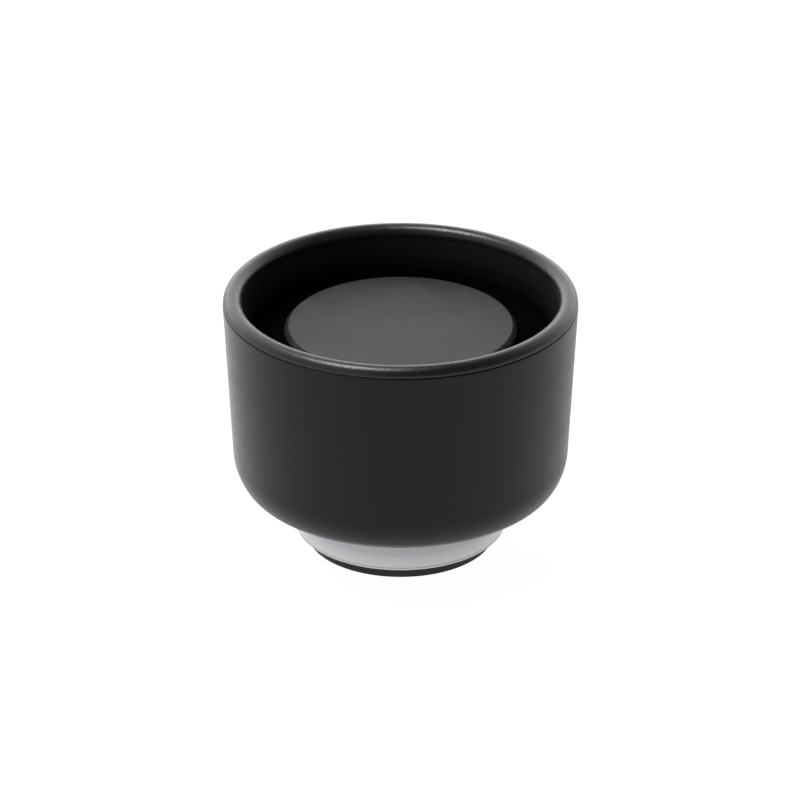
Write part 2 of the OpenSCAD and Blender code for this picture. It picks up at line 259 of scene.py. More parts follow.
def steel(name, base=(0.62, 0.62, 0.63), rough=0.28, rings=True):
    m, nt, bs = new_mat(name)
    n = Net(nt)
    s = n.xyz()
    streak = n.noise(9000.0, 3.0, 0.6, 0.0, n.mapping(scale=(1, 1, 0.08)))
    big = n.noise(400.0, 4.0, 0.6)
    col = n.ramp(big, [(0.3, tuple(c * 0.86 for c in base)), (0.7, tuple(min(1, c * 1.06) for c in base))])
    n.link(col, bs.inputs["Base Color"])
    n.link(n.range(streak, 0.3, 0.7, rough - 0.07, rough + 0.09), bs.inputs["Roughness"])
    n.link(n.bump(streak, 0.25, 0.008 * MM), bs.inputs["Normal"])
    bs.inputs["Metallic"].default_value = 1.0
    return m


# ------------------------------------------------------------ mesh helpers
def fillet(points, default=0.25, closed=True, step=12.0, support=0.3):
    """Profile points (r, z[, radius]) in mm to a list with true rounded corners and support points."""
    pts = [(p[0], p[1], p[2] if len(p) > 2 else default) for p in points]
    n = len(pts)
    arcs = []
    for i in range(n):
        x, z, rad = pts[i]
        if not closed and i in (0, n - 1):
            arcs.append([(x, z)])
            continue
        a, b = pts[i - 1], pts[(i + 1) % n]
        u = Vector((a[0] - x, a[1] - z))
        v = Vector((b[0] - x, b[1] - z))
        lu, lv = u.length, v.length
        if rad <= 0 or lu < 1e-6 or lv < 1e-6:
            arcs.append([(x, z)])
            continue
        u /= lu
        v /= lv
        ang = math.acos(max(-1, min(1, u.dot(v))))
        if math.pi - ang < math.radians(4):
            arcs.append([(x, z)])
            continue
        t = rad / math.tan(ang / 2)
        lim = 0.47 * min(lu, lv)
        if t > lim:
            t = lim
            rad = t * math.tan(ang / 2)
        p0 = Vector((x, z)) + u * t
        p1 = Vector((x, z)) + v * t
        bis = (u + v).normalized()
        c = Vector((x, z)) + bis * (rad / math.sin(ang / 2))
        a0 = math.atan2(p0.y - c.y, p0.x - c.x)
        a1 = math.atan2(p1.y - c.y, p1.x - c.x)
        d = (a1 - a0 + math.pi) % (2 * math.pi) - math.pi
        k = max(2, int(math.ceil(abs(math.degrees(d)) / step)))
        arcs.append([(c.x + rad * math.cos(a0 + d * j / k), c.y + rad * math.sin(a0 + d * j / k)) for j in range(k + 1)])
    out = []
    for i in range(n):
        out += arcs[i]
        if i < n - 1 or closed:
            p = Vector(arcs[i][-1])
            q = Vector(arcs[(i + 1) % n][0])
            L = (q - p).length
            if L > 6 * support:
                out.append(tuple(p + (q - p) * (support / L)))
                k = int(L // 6.0)
                for j in range(1, k):
                    out.append(tuple(p + (q - p) * (j / k)))
                out.append(tuple(p + (q - p) * (1 - support / L)))
            elif L > 2.2 * support:
                out.append(tuple((p + q) / 2))
    clean = []
    for p in out:
        if not clean or (Vector(p) - Vector(clean[-1])).length > 1e-4:
            clean.append(p)
    if closed and (Vector(clean[0]) - Vector(clean[-1])).length < 1e-4:
        clean.pop()
    return clean


def arc(c, r, a0, a1, step=6.0):
    k = max(2, int(math.ceil(abs(a1 - a0) / step)))
    return [(c[0] + r * math.cos(math.radians(a0 + (a1 - a0) * j / k)), c[1] + r * math.sin(math.radians(a0 + (a1 - a0) * j / k)), 0) for j in range(k + 1)]


def lathe_bm(bm, prof, seg, closed=True, fn=None, at=(0, 0, 0), turn=0.0):
    """Turns a profile (mm) round Z into bm. Points on the axis become one vertex. fn(r, z, angle) may reshape."""
    rings = []
    for (r, z) in prof:
        if r < 1e-6:
            v = bm.verts.new(((at[0]) * MM, (at[1]) * MM, (at[2] + z) * MM))
            rings.append([v])
            continue
        ring = []
        for i in range(seg):
            a = 2 * math.pi * i / seg
            rr, zz = (r, z) if fn is None else fn(r, z, a)
            ring.append(bm.verts.new(((at[0] + rr * math.cos(a + turn)) * MM, (at[1] + rr * math.sin(a + turn)) * MM, (at[2] + zz) * MM)))
        rings.append(ring)
    n = len(rings)
    for i in range(n if closed else n - 1):
        A, B = rings[i], rings[(i + 1) % n]
        if len(A) == 1 and len(B) == 1:
            continue
        for j in range(seg):
            k = (j + 1) % seg
            if len(A) == 1:
                f = (A[0], B[k], B[j])
            elif len(B) == 1:
                f = (A[j], A[k], B[0])
            else:
                f = (A[j], A[k], B[k], B[j])
            bm.faces.new(f)


def finish_obj(name, bm, body, mat, replaces=None, smooth=True):
    bmesh.ops.recalc_face_normals(bm, faces=bm.faces)
    me = bpy.data.meshes.new(name)
    bm.to_mesh(me)
    bm.free()
    for p in me.polygons:
        p.use_smooth = smooth
    me.materials.append(mat)
    ob = bpy.data.objects.new(name, me)
    bpy.context.scene.collection.objects.link(ob)
    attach(ob, body)
    if replaces:
        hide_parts(*([replaces] if isinstance(replaces, str) else replaces))
    return ob


def turned(name, prof, body, mat, replaces=None, seg=None, closed=True, fn=None):
    bm = bmesh.new()
    lathe_bm(bm, prof, seg or SEG, closed, fn)
    return finish_obj(name, bm, body, mat, replaces)


# ------------------------------------------------------------- the profile
DRAFT = 2.78
SEAM = 81.15
SHELL_Z = 18.9
RA, RB, SPLIT = 16.9, 8.1, 32.0


def sd(a): return math.sin(math.radians(a))
def cd(a): return math.cos(math.radians(a))


WEZ = SHELL_Z + RB * (1 - sd(SPLIT)) + RA * (sd(SPLIT) - sd(DRAFT))
WER = 55.0 - (SEAM - WEZ) * math.tan(math.radians(DRAFT))
CA = (WER - RA * cd(DRAFT), WEZ + RA * sd(DRAFT))
CB = (CA[0] + (RA - RB) * cd(SPLIT), CA[1] - (RA - RB) * sd(SPLIT))


def wall_at(z, d=0.0):
    x = CA[0] + (RA - d) * cd(DRAFT)
    y = CA[1] - (RA - d) * sd(DRAFT)
    return x + (z - y) * math.tan(math.radians(DRAFT))


def cup_line(d, ztop, zfloor=None, rin=None, step=4.0):
    """Points from the top of the wall (moved inward by d) down the wall and round the bottom."""
    pts = [(wall_at(ztop, d), ztop, 0)]
    pts += arc(CA, RA - d, -DRAFT, -SPLIT, step)
    pts += arc(CB, RB - d, -SPLIT, -90, step)[1:]
    return pts


# --------------------------------------------------------------- materials
M_SHELL = grain_plastic("shell_black", (0.0050, 0.0050, 0.0048), 0.41, grain=0.38, grain_depth=0.03, mottle=0.14, dust=0.06, spec=0.20, streak=0.02, sheen=0.24)
M_RIM = grain_plastic("rim_black", (0.0070, 0.0070, 0.0067), 0.33, grain=0.52, grain_depth=0.12, mottle=0.14, dust=0.06, spec=0.46, sheen=0.03, spark=0.07)
M_HARD = grain_plastic("inner_black", (0.02, 0.02, 0.0205), 0.46, grain=0.5, grain_depth=0.02, mottle=0.15, spec=0.45)
M_CAP = grain_plastic("cap_black", (0.0045, 0.0045, 0.0045), 0.5, grain=0.5, grain_depth=0.015, mottle=0.12, spec=0.12)
M_FOOT = rubber("foot_rubber", (0.0145, 0.0145, 0.0145), 0.6, spec=0.30)
M_LINER = rubber("liner_rubber", (0.016, 0.0165, 0.017), 0.66, bloom=0.6)
M_SEAL = rubber("seal_silicone", (0.26, 0.040, 0.022), 0.42, spec=0.5, bloom=0.15)
M_GASKET = rubber("gasket_rubber", (0.014, 0.014, 0.014), 0.5)
M_STEEL = steel("stainless")
M_BRASS = steel("brass", (0.72, 0.50, 0.20), 0.3)
M_ACETAL = grain_plastic("acetal_white", (0.72, 0.71, 0.67), 0.38, grain=0.6, grain_depth=0.01, mottle=0.04, spec=0.5)


def pad_material():
    """Dark-grey soft-touch skin: cloudy handling smudges, fine grain, one curved hairline."""
    m, nt, bs = new_mat("pad_soft_touch")
    n = Net(nt)
    base = (0.0130, 0.0130, 0.0128)
    cloud = n.noise(30.0, 6.0, 0.62, 1.4)
    wipe = n.noise(26.0, 6.0, 0.66, 0.5, n.mapping(scale=(1.0, 2.2, 1.0), rot=(0.0, 0.0, 0.5)))
    mid = n.noise(150.0, 5.0, 0.6)
    fine = n.noise(2100.0, 3.0, 0.7)
    tone = n.math("ADD", n.math("ADD", n.math("MULTIPLY", cloud, 0.45), n.math("MULTIPLY", wipe, 0.35)), n.math("MULTIPLY", mid, 0.20))
    col = n.ramp(tone, [(0.41, tuple(c * 0.35 for c in base)), (0.5, base), (0.59, tuple(c * 1.9 for c in base))])
    col = n.mix(n.math("MULTIPLY", n.range(fine, 0.50, 0.75, 0, 1), 0.55), col, tuple(c * 2.0 for c in base))
    # painted pool of light: the middle is painted a little lighter, patchy with the cloud noise
    centre_light_pool = n.range(n.radius(), 0.004, 0.030, 1.0, 0.0, True)
    col = n.mix(n.math("MULTIPLY", n.math("MULTIPLY", centre_light_pool, cloud), 0.75), col, tuple(c * 2.1 for c in base))
    swirl = n.scratch((-0.0115, 0.0095), 0.0165, 0.00016, 0.15, 0.95)
    hair = n.scratch((0.030, -0.034), 0.052, 0.00010, 2.0, 2.35)
    marks = n.math("MAXIMUM", n.math("MULTIPLY", swirl, 0.6), n.math("MULTIPLY", hair, 0.35))
    col = n.mix(n.math("MULTIPLY", marks, 0.40), col, (0.12, 0.12, 0.12))
    n.link(col, bs.inputs["Base Color"])
    n.link(n.range(n.math("SUBTRACT", cloud, n.math("MULTIPLY", marks, 0.4)), 0.3, 0.7, 0.40, 0.50), bs.inputs["Roughness"])
    nb = n.bump(fine, 0.5, 0.05 * MM)
    nb = n.bump(cloud, 0.2, 0.15 * MM, nb)
    n.link(nb, bs.inputs["Normal"])
    bs.inputs["Specular IOR Level"].default_value = 0.18
    bs.inputs["Sheen Weight"].default_value = 0.0
    bs.inputs["Sheen Roughness"].default_value = 0.5
    return m


def well_material():
    """Satin black of the well, with painted shade darkening it deeper down towards the moat; loose grit dust and two
    faint wipe marks.
    """
    m, nt, bs = new_mat("well_satin_black")
    n = Net(nt)
    s = n.xyz()
    mid = n.noise(70.0, 5.0, 0.6, 0.5)
    inside = n.range(n.radius(), 0.0494, 0.0498, 1.0, 0.0)      # 0 on the plug's outer face
    # painted shade: the colour darkens with depth in the well, to near black at the moat floor
    z = n.math("ADD", s[2], n.math("MULTIPLY", n.math("SUBTRACT", mid, 0.5), 0.004))
    col = n.ramp(n.range(z, 0.064, 0.081, 0.0, 1.0), [(0.0, 0.0018), (0.34, 0.0020), (0.50, 0.0040), (0.70, 0.0066), (1.0, 0.0092)], "EASE")
    col = n.mix(inside, (0.0072, 0.0072, 0.0071), col)
    # dust specks, thicker in patches set by a noise mask
    d = n.voronoi(430.0, "F1")
    patch = n.range(n.noise(46.0, 3.0, 0.6, 0.6), 0.44, 0.60, 0.0, 1.0, True)
    spots = n.math("MULTIPLY", n.range(d, 0.05, 0.12, 1.0, 0.0, True), n.range(n.noise(230.0, 2.0, 0.5), 0.50, 0.56, 0.0, 1.0))
    spots = n.math("MULTIPLY", spots, n.math("ADD", n.math("MULTIPLY", patch, 0.8), 0.2))
    wipe = n.noise(30.0, 7.0, 0.7, 0.4, n.mapping(scale=(1, 1, 7)))
    wipe = n.math("MULTIPLY", n.range(wipe, 0.55, 0.72, 0.0, 1.0, True), patch)
    high = n.range(s[2], 0.0665, 0.0695, 0.0, 1.0, True)
    col = n.mix(n.math("MULTIPLY", n.math("MULTIPLY", wipe, high), 0.13), col, (0.06, 0.06, 0.06))
    col = n.mix(n.math("MULTIPLY", n.math("MULTIPLY", spots, high), 0.42), col, (0.13, 0.125, 0.12))
    n.link(col, bs.inputs["Base Color"])
    deep = n.math("MULTIPLY", n.range(s[2], 0.0665, 0.0735, 1.0, 0.0, True), inside)
    n.link(n.math("ADD", n.range(mid, 0.3, 0.7, 0.44, 0.54), n.math("MULTIPLY", deep, 0.44)), bs.inputs["Roughness"])
    spec = n.math("ADD", 0.07, n.math("MULTIPLY", n.math("SUBTRACT", 1.0, inside), 0.22))
    n.link(n.math("MULTIPLY", n.math("SUBTRACT", 1.0, deep), spec), bs.inputs["Specular IOR Level"])
    fine = n.noise(1800.0, 3.0, 0.6)
    n.link(n.bump(fine, 0.4, 0.006 * MM), bs.inputs["Normal"])
    n.link(n.math("SUBTRACT", 1.50, n.math("MULTIPLY", deep, 0.42)), bs.inputs["IOR"])
    return m


def frosted_material():
    """Frosted translucent collar: milky, a bluish darker band where the core shows through, and painted shadow
    darkening its top under the shell's overhang.
    """
    m, nt, bs = new_mat("collar_frosted")
    n = Net(nt)
    s = n.xyz()
    wob = n.math("MULTIPLY", n.math("SUBTRACT", n.noise(45.0, 3.0, 0.5), 0.5), 0.0006)
    # colour by height: lighter near the lip, the bluish band where the core shows through, and painted shadow keeping
    # the top dark under the shell
    z = n.math("ADD", s[2], wob)
    f = n.range(z, 0.0044, 0.0190, 0.0, 1.0)
    col = n.ramp(f, [
        (0.00, (0.58, 0.585, 0.59)),
        (0.10, (0.71, 0.715, 0.72)),
        (0.26, (0.64, 0.647, 0.657)),
        (0.40, (0.51, 0.525, 0.555)),
        (0.52, (0.49, 0.50, 0.52)),
        (1.00, (0.47, 0.475, 0.48)),
    ], "EASE")
    milk = n.noise(500.0, 5.0, 0.6)
    col = n.mix(n.range(milk, 0.35, 0.7, 0.0, 0.12), col, (0.66, 0.67, 0.69))
    n.link(col, bs.inputs["Base Color"])
    n.link(n.range(milk, 0.3, 0.7, 0.36, 0.48), bs.inputs["Roughness"])
    n.link(n.bump(n.noise(2600.0, 3.0, 0.6), 0.3, 0.015 * MM), bs.inputs["Normal"])
    bs.inputs["Subsurface Weight"].default_value = 0.35
    bs.inputs["Subsurface Radius"].default_value = (0.0016, 0.0018, 0.0021)
    bs.inputs["Subsurface Scale"].default_value = 1.0
    bs.inputs["Specular IOR Level"].default_value = 0.45
    return m


M_PAD = pad_material()
M_FROST = frosted_material()
M_WELL = well_material()


# ------------------------------------------------------------ outer shell
SHELL_TOP = SEAM - 0.11
bottom_r = CB[0]
outer = cup_line(0.0, SHELL_TOP - 0.45)
inner = cup_line(2.4, SHELL_TOP - 0.3)
prof = [(p[0], p[1], 0) for p in outer]
prof += [(bottom_r - 4, SHELL_Z, 0), (12.1, SHELL_Z, 0.3), (12.1, SHELL_Z + 2.4, 0.3)]
prof += [(p[0], p[1], 0) for p in reversed(inner)]
prof += [(wall_at(SHELL_TOP, 2.4), SHELL_TOP, 0.25), (wall_at(SHELL_TOP) - 0.05, SHELL_TOP, 0.42)]
turned("shell_cup", fillet(prof, 0.2, step=15), "barrel", M_SHELL, "outer_shell")

# ------------------------------------------------------------------ liner
LT = 2.4 + 4.4
lin = [(wall_at(58.8, 2.45), 58.8, 0.5)]
lin += [(p[0], p[1], 0) for p in cup_line(2.45, 50.0)[1:]]
lin += [(30.5, SHELL_Z + 2.45, 0.3), (30.5, 24.3, 0.5), (0.0, 24.3, 0)]
inn = [(0.0, 27.4, 0), (30.0, 27.4, 0), (39.0, 27.4, 0), (wall_at(33.0, LT) - 0.2, 27.4, 6.0), (wall_at(36.0, LT), 36.0, 0), (wall_at(47.0, LT), 47.0, 0), (wall_at(58.8, LT), 58.8, 0.9)]
lprof = fillet(lin + inn, 0.3, closed=False, step=10, support=0.6)
RIB = 8


def ribs(r, z, a):
    """Pushes the chamber's wall inward into eight rounded lifter bars that fade out at both ends."""
    wall = wall_at(max(z, 33.0), LT)
    if z < 27.41 or r < 30 or r > wall + 0.15 or z > 58.75:
        return r, z
    fz = min(1.0, max(0.0, (z - 31.5) / 3.0)) * min(1.0, max(0.0, (57.6 - z) / 2.2))
    fz = fz * fz * (3 - 2 * fz)
    d = (a * RIB / (2 * math.pi) - 0.5) % 1.0 - 0.0
    d = min(d, 1 - d) * (2 * math.pi / RIB) * wall      # arc distance to the nearest rib
    w = 2.5
    g = 0.0
    if d < w:
        g = math.sqrt(max(0.0, 1 - (d / w) ** 2)) * 2.35
    elif d < w + 1.4:
        g = 0.0
    foot = math.exp(-(max(0.0, d - w * 0.8) / 0.8) ** 2) * 0.25
    return r - fz * max(g, foot), z


def liner_fn(r, z, a):
    return ribs(r, z, a)


# extra rows on the chamber wall so that the ribs' ends are smooth
lp = []
for i, p in enumerate(lprof):
    lp.append(p)
    if i + 1 < len(lprof):
        q = lprof[i + 1]
        if p[0] > 40 and q[0] > 40 and p[1] > 30 and q[1] > p[1] and abs(q[0] - p[0]) < 3:
            k = max(1, int(abs(q[1] - p[1]) / 0.8))
            for j in range(1, k):
                lp.append((p[0] + (q[0] - p[0]) * j / k, p[1] + (q[1] - p[1]) * j / k))
bm = bmesh.new()
lathe_bm(bm, lp, 384, closed=False, fn=liner_fn)
finish_obj("liner_tub", bm, "barrel", M_LINER, "barrel_liner")

# -------------------------------------------------------------- mouth ring
BORE = 50.8
mr = [(BORE, 59.0, 0.3), (wall_at(59.0, 2.45), 59.0, 0.3), (wall_at(80.3, 2.45), 80.3, 0.25), (BORE + 0.65, 80.3, 0.3), (BORE, 79.1, 0.8)]
turned("mouth_seat", fillet(mr, 0.3), "barrel", M_HARD, "mouth_ring")

# ------------------------------------------------------------- the collar
co = [(31.0, 4.4, 0.1), (32.65, 4.4, 0.0)]
co += arc((32.65, 4.90), 0.5, -90, 50, 14)[1:]
co += [(33.0, 5.40, 0.12), (33.06, 5.62, 0.2), (33.10, 6.6, 1.0), (33.30, 10.0, 4.0), (33.50, 14.0, 4.0), (33.55, 18.9, 0.1), (31.0, 18.9, 0.1)]
turned("collar_ring", fillet(co, 0.1, step=8), "barrel", M_FROST, "base_collar")

core = [(0.0, 4.42, 0), (30.93, 4.42, 0.2), (30.93, 18.88, 0.2), (12.0, 18.88, 0.2), (12.0, 21.2, 0.4), (0.0, 21.2, 0)]
turned("collar_hub", fillet(core, 0.2, closed=False), "barrel", M_HARD, "collar_core", closed=False)

# --------------------------------------------------------------- foot pad
fp = [(0.0, 4.38, 0), (29.55, 4.38, 0.15), (29.55, 0.0, 0.45)]
for r in (25.5, 22.0):
    fp += [(r + 1.4, 0.0, 0.15), (r + 1.25, 0.8, 0.2), (r + 0.15, 0.8, 0.2), (r, 0.0, 0.15)]
for r in (10.5, 6.5):
    fp += [(r + 1.4, 0.0, 0.15), (r + 1.25, 0.8, 0.2), (r + 0.15, 0.8, 0.2), (r, 0.0, 0.15)]
fp += [(0.0, 0.0, 0)]
foot_prof = fillet(fp, 0.15, closed=False, step=20, support=0.2)
bm = bmesh.new()
lathe_bm(bm, foot_prof, SEG, closed=False)
foot = finish_obj("foot_disc", bm, "barrel", M_FOOT, "foot_pad")


def cut(target, cutters):
    """Real holes by boolean, applied, so the mesh stays closed."""
    for c in cutters:
        md = target.modifiers.new("cut", "BOOLEAN")
        md.operation = "DIFFERENCE"
        md.solver = "EXACT"
        md.object = c
        bpy.context.view_layer.objects.active = target
        for o in bpy.context.selected_objects:
            o.select_set(False)
        target.select_set(True)
        bpy.ops.object.modifier_apply(modifier=md.name)
        me = c.data
        bpy.data.objects.remove(c)
        bpy.data.meshes.remove(me)


def cutter(prof, spots, seg=64):
    bm = bmesh.new()
    for (x, y) in spots:
        lathe_bm(bm, prof, seg, closed=False, at=(x, y, 0))
    bmesh.ops.recalc_face_normals(bm, faces=bm.faces)
    me = bpy.data.meshes.new("cutter")
    bm.to_mesh(me)
    bm.free()
    ob = bpy.data.objects.new("cutter", me)
    bpy.context.scene.collection.objects.link(ob)
    return ob


def spots(r, a0, n=4):
    return [(r * math.cos(math.radians(a0 + 360 * i / n)), r * math.sin(math.radians(a0 + 360 * i / n))) for i in range(n)]


cut(foot, [cutter([(0, -1), (3.75, -1), (3.75, -0.02), (3.4, 0.35), (3.4, 2.2), (0, 2.2)], spots(16, 0))])


def hexfn(af):
    """Turns a ring of radius af/2 (flat-to-flat) into a hexagon; other radii are left alone."""
    def f(r, z, a):
        t = (a + math.pi / 6) % (math.pi / 3) - math.pi / 6
        return af / 2 / math.cos(t), z
    return f


def socket_screws(name, where, z_head, up, head_r, head_h, shank_r, shank_l, socket_af, body, replaces):
    """Pan-head hex-socket screws with a rolled thread, one object for the whole group.
    z_head is the seat of the head; up is +1 when the head points up."""
    bm = bmesh.new()
    seg = SMALL
    for (x, y) in where:
        def zz(z):
            return z_head + up * z
        # head
        h = [(shank_r, 0, 0), (head_r, 0, 0.15), (head_r, head_h, 0.45), (socket_af / 2 + 0.28, head_h, 0.1)]
        hp = fillet(h, 0.15, closed=False, step=15, support=0.15)
        rings = []
        for (r, z) in hp:
            rings.append([bm.verts.new(((x + r * math.cos(2 * math.pi * i / seg)) * MM, (y + r * math.sin(2 * math.pi * i / seg)) * MM, zz(z) * MM)) for i in range(seg)])
        # socket
        for (s, z) in ((1.0, head_h - 0.12), (0.985, head_h - 0.2), (0.97, head_h * 0.32)):
            ring = []
            for i in range(seg):
                a = 2 * math.pi * i / seg
                t = (a + math.pi / 6) % (math.pi / 3) - math.pi / 6
                rr = socket_af / 2 / math.cos(t) * s
                ring.append(bm.verts.new(((x + rr * math.cos(a)) * MM, (y + rr * math.sin(a)) * MM, zz(z) * MM)))
            rings.append(ring)
        for A, B in zip(rings[:-1], rings[1:]):
            for j in range(seg):
                k = (j + 1) % seg
                bm.faces.new((A[j], A[k], B[k], B[j]))
        c = bm.verts.new((x * MM, y * MM, zz(head_h * 0.30) * MM))
        for j in range(seg):
            bm.faces.new((rings[-1][j], rings[-1][(j + 1) % seg], c))
        # threaded shank
        pitch = 0.5
        rows = [rings[0]]
        k = int(shank_l / (pitch / 4))
        for i in range(1, k):
            z = -shank_l * i / k
            ring = []
            for j in range(seg):
                a = 2 * math.pi * j / seg
                ph = (z / pitch - a / (2 * math.pi)) % 1.0
                depth = abs(ph - 0.5) * 2 * 0.16 * min(1.0, i / 4.0) * min(1.0, (k - i) / 4.0)
                r = shank_r - depth
                ring.append(bm.verts.new(((x + r * math.cos(a)) * MM, (y + r * math.sin(a)) * MM, zz(z) * MM)))
            rows.append(ring)
        tip = [bm.verts.new(((x + shank_r * 0.72 * math.cos(2 * math.pi * j / seg)) * MM, (y + shank_r * 0.72 * math.sin(2 * math.pi * j / seg)) * MM, zz(-shank_l) * MM)) for j in range(seg)]
        rows.append(tip)
        for A, B in zip(rows[:-1], rows[1:]):
            for j in range(seg):
                q = (j + 1) % seg
                bm.faces.new((A[j], B[j], B[q], A[q]))
        c = bm.verts.new((x * MM, y * MM, zz(-shank_l) * MM))
        for j in range(seg):
            bm.faces.new((tip[j], c, tip[(j + 1) % seg]))
    ob = finish_obj(name, bm, body, M_STEEL, replaces)
    sharp(ob, 40)
    return ob


def sharp(ob, angle):
    """Marks hard edges above an angle so that flats stay flat."""
    bm = bmesh.new()
    bm.from_mesh(ob.data)
    lim = math.radians(angle)
    for e in bm.edges:
        e.smooth = not (len(e.link_faces) == 2 and e.calc_face_angle(0.0) > lim)
    bm.to_mesh(ob.data)
    bm.free()


sharp(foot, 35)
socket_screws("foot_screw_set", spots(16, 0), 2.2, -1, 2.8, 1.5, 1.35, 8.9, 2.2, "barrel", "foot_screws")
socket_screws("collar_screw_set", spots(20, 45), SHELL_Z + 2.4 + 1.5, 1, 3.3, 1.3, 1.5, 9.2, 2.4, "barrel", "collar_screws")

# -------------------------------------------------------------------- lid
RIM_R, RIM_OUT = 2.9, 54.9
TOP = SEAM + RIM_R + 0.15
RCZ, RCR = TOP - RIM_R, RIM_OUT - RIM_R
RU = SEAM + 0.11
rim = [(RCR + math.sqrt(max(0, RIM_R ** 2 - (RU - RCZ) ** 2)) - 0.18, RU, 0.0)]
rim += [(RCR + RIM_R * cd(a), RCZ + RIM_R * sd(a), 0) for a in [3] + list(range(6, 181, 4)) + [180]]
rim += [(RCR - RIM_R, 80.2, 0.0), (50.4, 80.2, 0.1), (50.4, RU, 0.1)]
rim_ob = turned("rolled_rim", fillet(rim, 0.1, step=20), "lid", M_RIM, "lid_rim", seg=320)
sharp(rim_ob, 50)

WELL, FLOOR = 47.9, 65.0
PW = 36.2
dish = [(4.0, 59.5, 0.1), (12.0, 59.5, 0.3), (12.0, 62.6, 0.4), (31.0, 62.6, 0.4), (31.0, 61.8, 0.3), (37.8, 61.8, 0.4), (37.8, 63.0, 0.4), (46.8, 63.0, 0.6),
        (46.8, 61.5, 0.2), (50.0, 61.5, 0.1), (50.4, 62.3, 0.3)]
for zo in (65.4, 70.1):
    dish += [(50.4, zo - 1.2, 0.15), (48.45, zo - 1.2, 0.25), (48.45, zo + 1.2, 0.25), (50.4, zo + 1.2, 0.15)]
dish += [(50.4, 80.19, 0.05), (49.1, 80.19, 0.0), (WELL + 0.1, 74.6, 4.0), (46.72, FLOOR, 3.4), (PW + 0.02, FLOOR, 1.2), (PW, 67.7, 0.3), (35.32, 67.7, 0.3),
         (35.32, 63.42, 0.4), (32.58, 63.42, 0.4), (32.58, 64.6, 0.3), (10.0, 64.6, 0.4), (10.0, 61.5, 0.3), (4.0, 61.5, 0.05)]
dish_ob = turned("dish_moulding", fillet(dish, 0.2, step=12), "lid", M_WELL, "lid_dish")
sharp(dish_ob, 60)

rg = [(50.48, 80.48, 0.2), (52.2, 80.48, 0.2), (52.2, RU, 0.1), (50.48, RU, 0.1)]
turned("face_seal", fillet(rg, 0.15, step=20, support=0.12), "lid", M_GASKET, "rim_gasket")

bm = bmesh.new()
for zo in (65.4, 70.1):
    p = [(49.6 + 1.1 * cd(a), zo + 1.1 * sd(a)) for a in range(0, 360, 12)]
    lathe_bm(bm, p, SEG)
finish_obj("o_ring_pair", bm, "lid", M_SEAL, "lid_o_rings")

up = [(12.1, 59.5, 0.3), (15.0, 59.5, 0.1), (15.1, 60.0, 0.1), (15.9, 60.0, 0.1), (16.0, 59.5, 0.1), (40.0, 59.5, 0.1), (40.1, 60.0, 0.1), (40.9, 60.0, 0.1), (41.0, 59.5, 0.1),
      (49.2, 59.5, 0.6), (49.2, 61.38, 0.15), (12.1, 61.38, 0.2)]
plate = turned("under_cover", fillet(up, 0.1, step=20, support=0.2), "lid", M_HARD, "lid_underplate")
cut(plate, [cutter([(0, 50), (1.6, 50), (1.6, 65), (0, 65)], spots(26, 45), 48)])
sharp(plate, 35)
socket_screws("cover_screw_set", spots(26, 45), 59.5, -1, 2.7, 1.5, 1.15, 4.3, 2.0, "lid", "underplate_screws")

# ------------------------------------------------------------ vent button
PAD_R, PAD_Z = 35.06, 73.45
pad = [(0.0, PAD_Z - 0.22, 0)]
for r in (1.5, 4, 7, 10, 13, 16, 19, 22, 25, 28, 30.5, 32.4):
    pad.append((r, PAD_Z - 0.22 * (1 - (r / 34.0) ** 2), 0))
pad += [(33.8, PAD_Z, 0.6), (34.77, PAD_Z, 0.45), (35.93, 72.26, 0.15), (35.93, 71.92, 0.05), (0.0, 71.92, 0)]
turned("soft_pad", fillet(pad, 0.2, closed=False, step=8, support=0.3), "vent_button", M_PAD, "button_pad", closed=False)

car = [(0.0, 71.90, 0), (35.7, 71.90, 0.05), (36.1, 71.86, 0.30), (36.1, 71.12, 0.30), (34.9, 71.1, 0.25), (34.9, 66.8, 0.4), (33.1, 66.8, 0.4), (33.1, 69.4, 0.3),
       (19.2, 69.4, 0.2), (19.2, 68.4, 0.2), (18.0, 68.4, 0.2), (18.0, 69.4, 0.2), (4.5, 69.4, 0.4), (4.5, 66.0, 0.3), (0.0, 66.0, 0)]
turned("button_cap", fillet(car, 0.2, closed=False), "vent_button", M_CAP, "button_carrier", closed=False)

pop = [(2.0, 56.4, 0.1), (11.0, 56.4, 0.3), (12.0, 57.0, 0.3), (12.0, 57.7, 0.2), (4.0, 57.7, 0.3), (4.0, 58.6, 0.2), (2.0, 58.6, 0.1)]
turned("poppet_disc", fillet(pop, 0.2, step=15, support=0.15), "vent_button", M_ACETAL, "valve_poppet", seg=96)
pw = [(9.6, 57.72, 0.2), (11.9, 57.72, 0.2), (11.9, 58.45, 0.25), (9.6, 58.45, 0.25)]
turned("poppet_seal", fillet(pw, 0.2, step=20, support=0.12), "vent_button", M_SEAL, "valve_washer", seg=96)
vs = [(9.9, 58.6, 0.25), (11.9, 58.6, 0.25), (11.9, 59.48, 0.1), (9.9, 59.48, 0.1)]
turned("seat_seal", fillet(vs, 0.2, step=20, support=0.12), "lid", M_SEAL, "valve_seat", seg=96)

# Return spring: round wire with flat end turns.
SPR_Z0, SPR_Z1, SPR_R, SPR_W, TURNS = 61.53, 69.36, 7.0, 0.42, 5


def coil_height(t):
    """Share of the coil's height at share t of its turns; both end turns lie flat."""
    if t < 0.12:
        return 0.0
    if t > 0.88:
        return 1.0
    u = (t - 0.12) / 0.76
    return (1 - math.cos(math.pi * u)) * 0.12 + u * 0.76


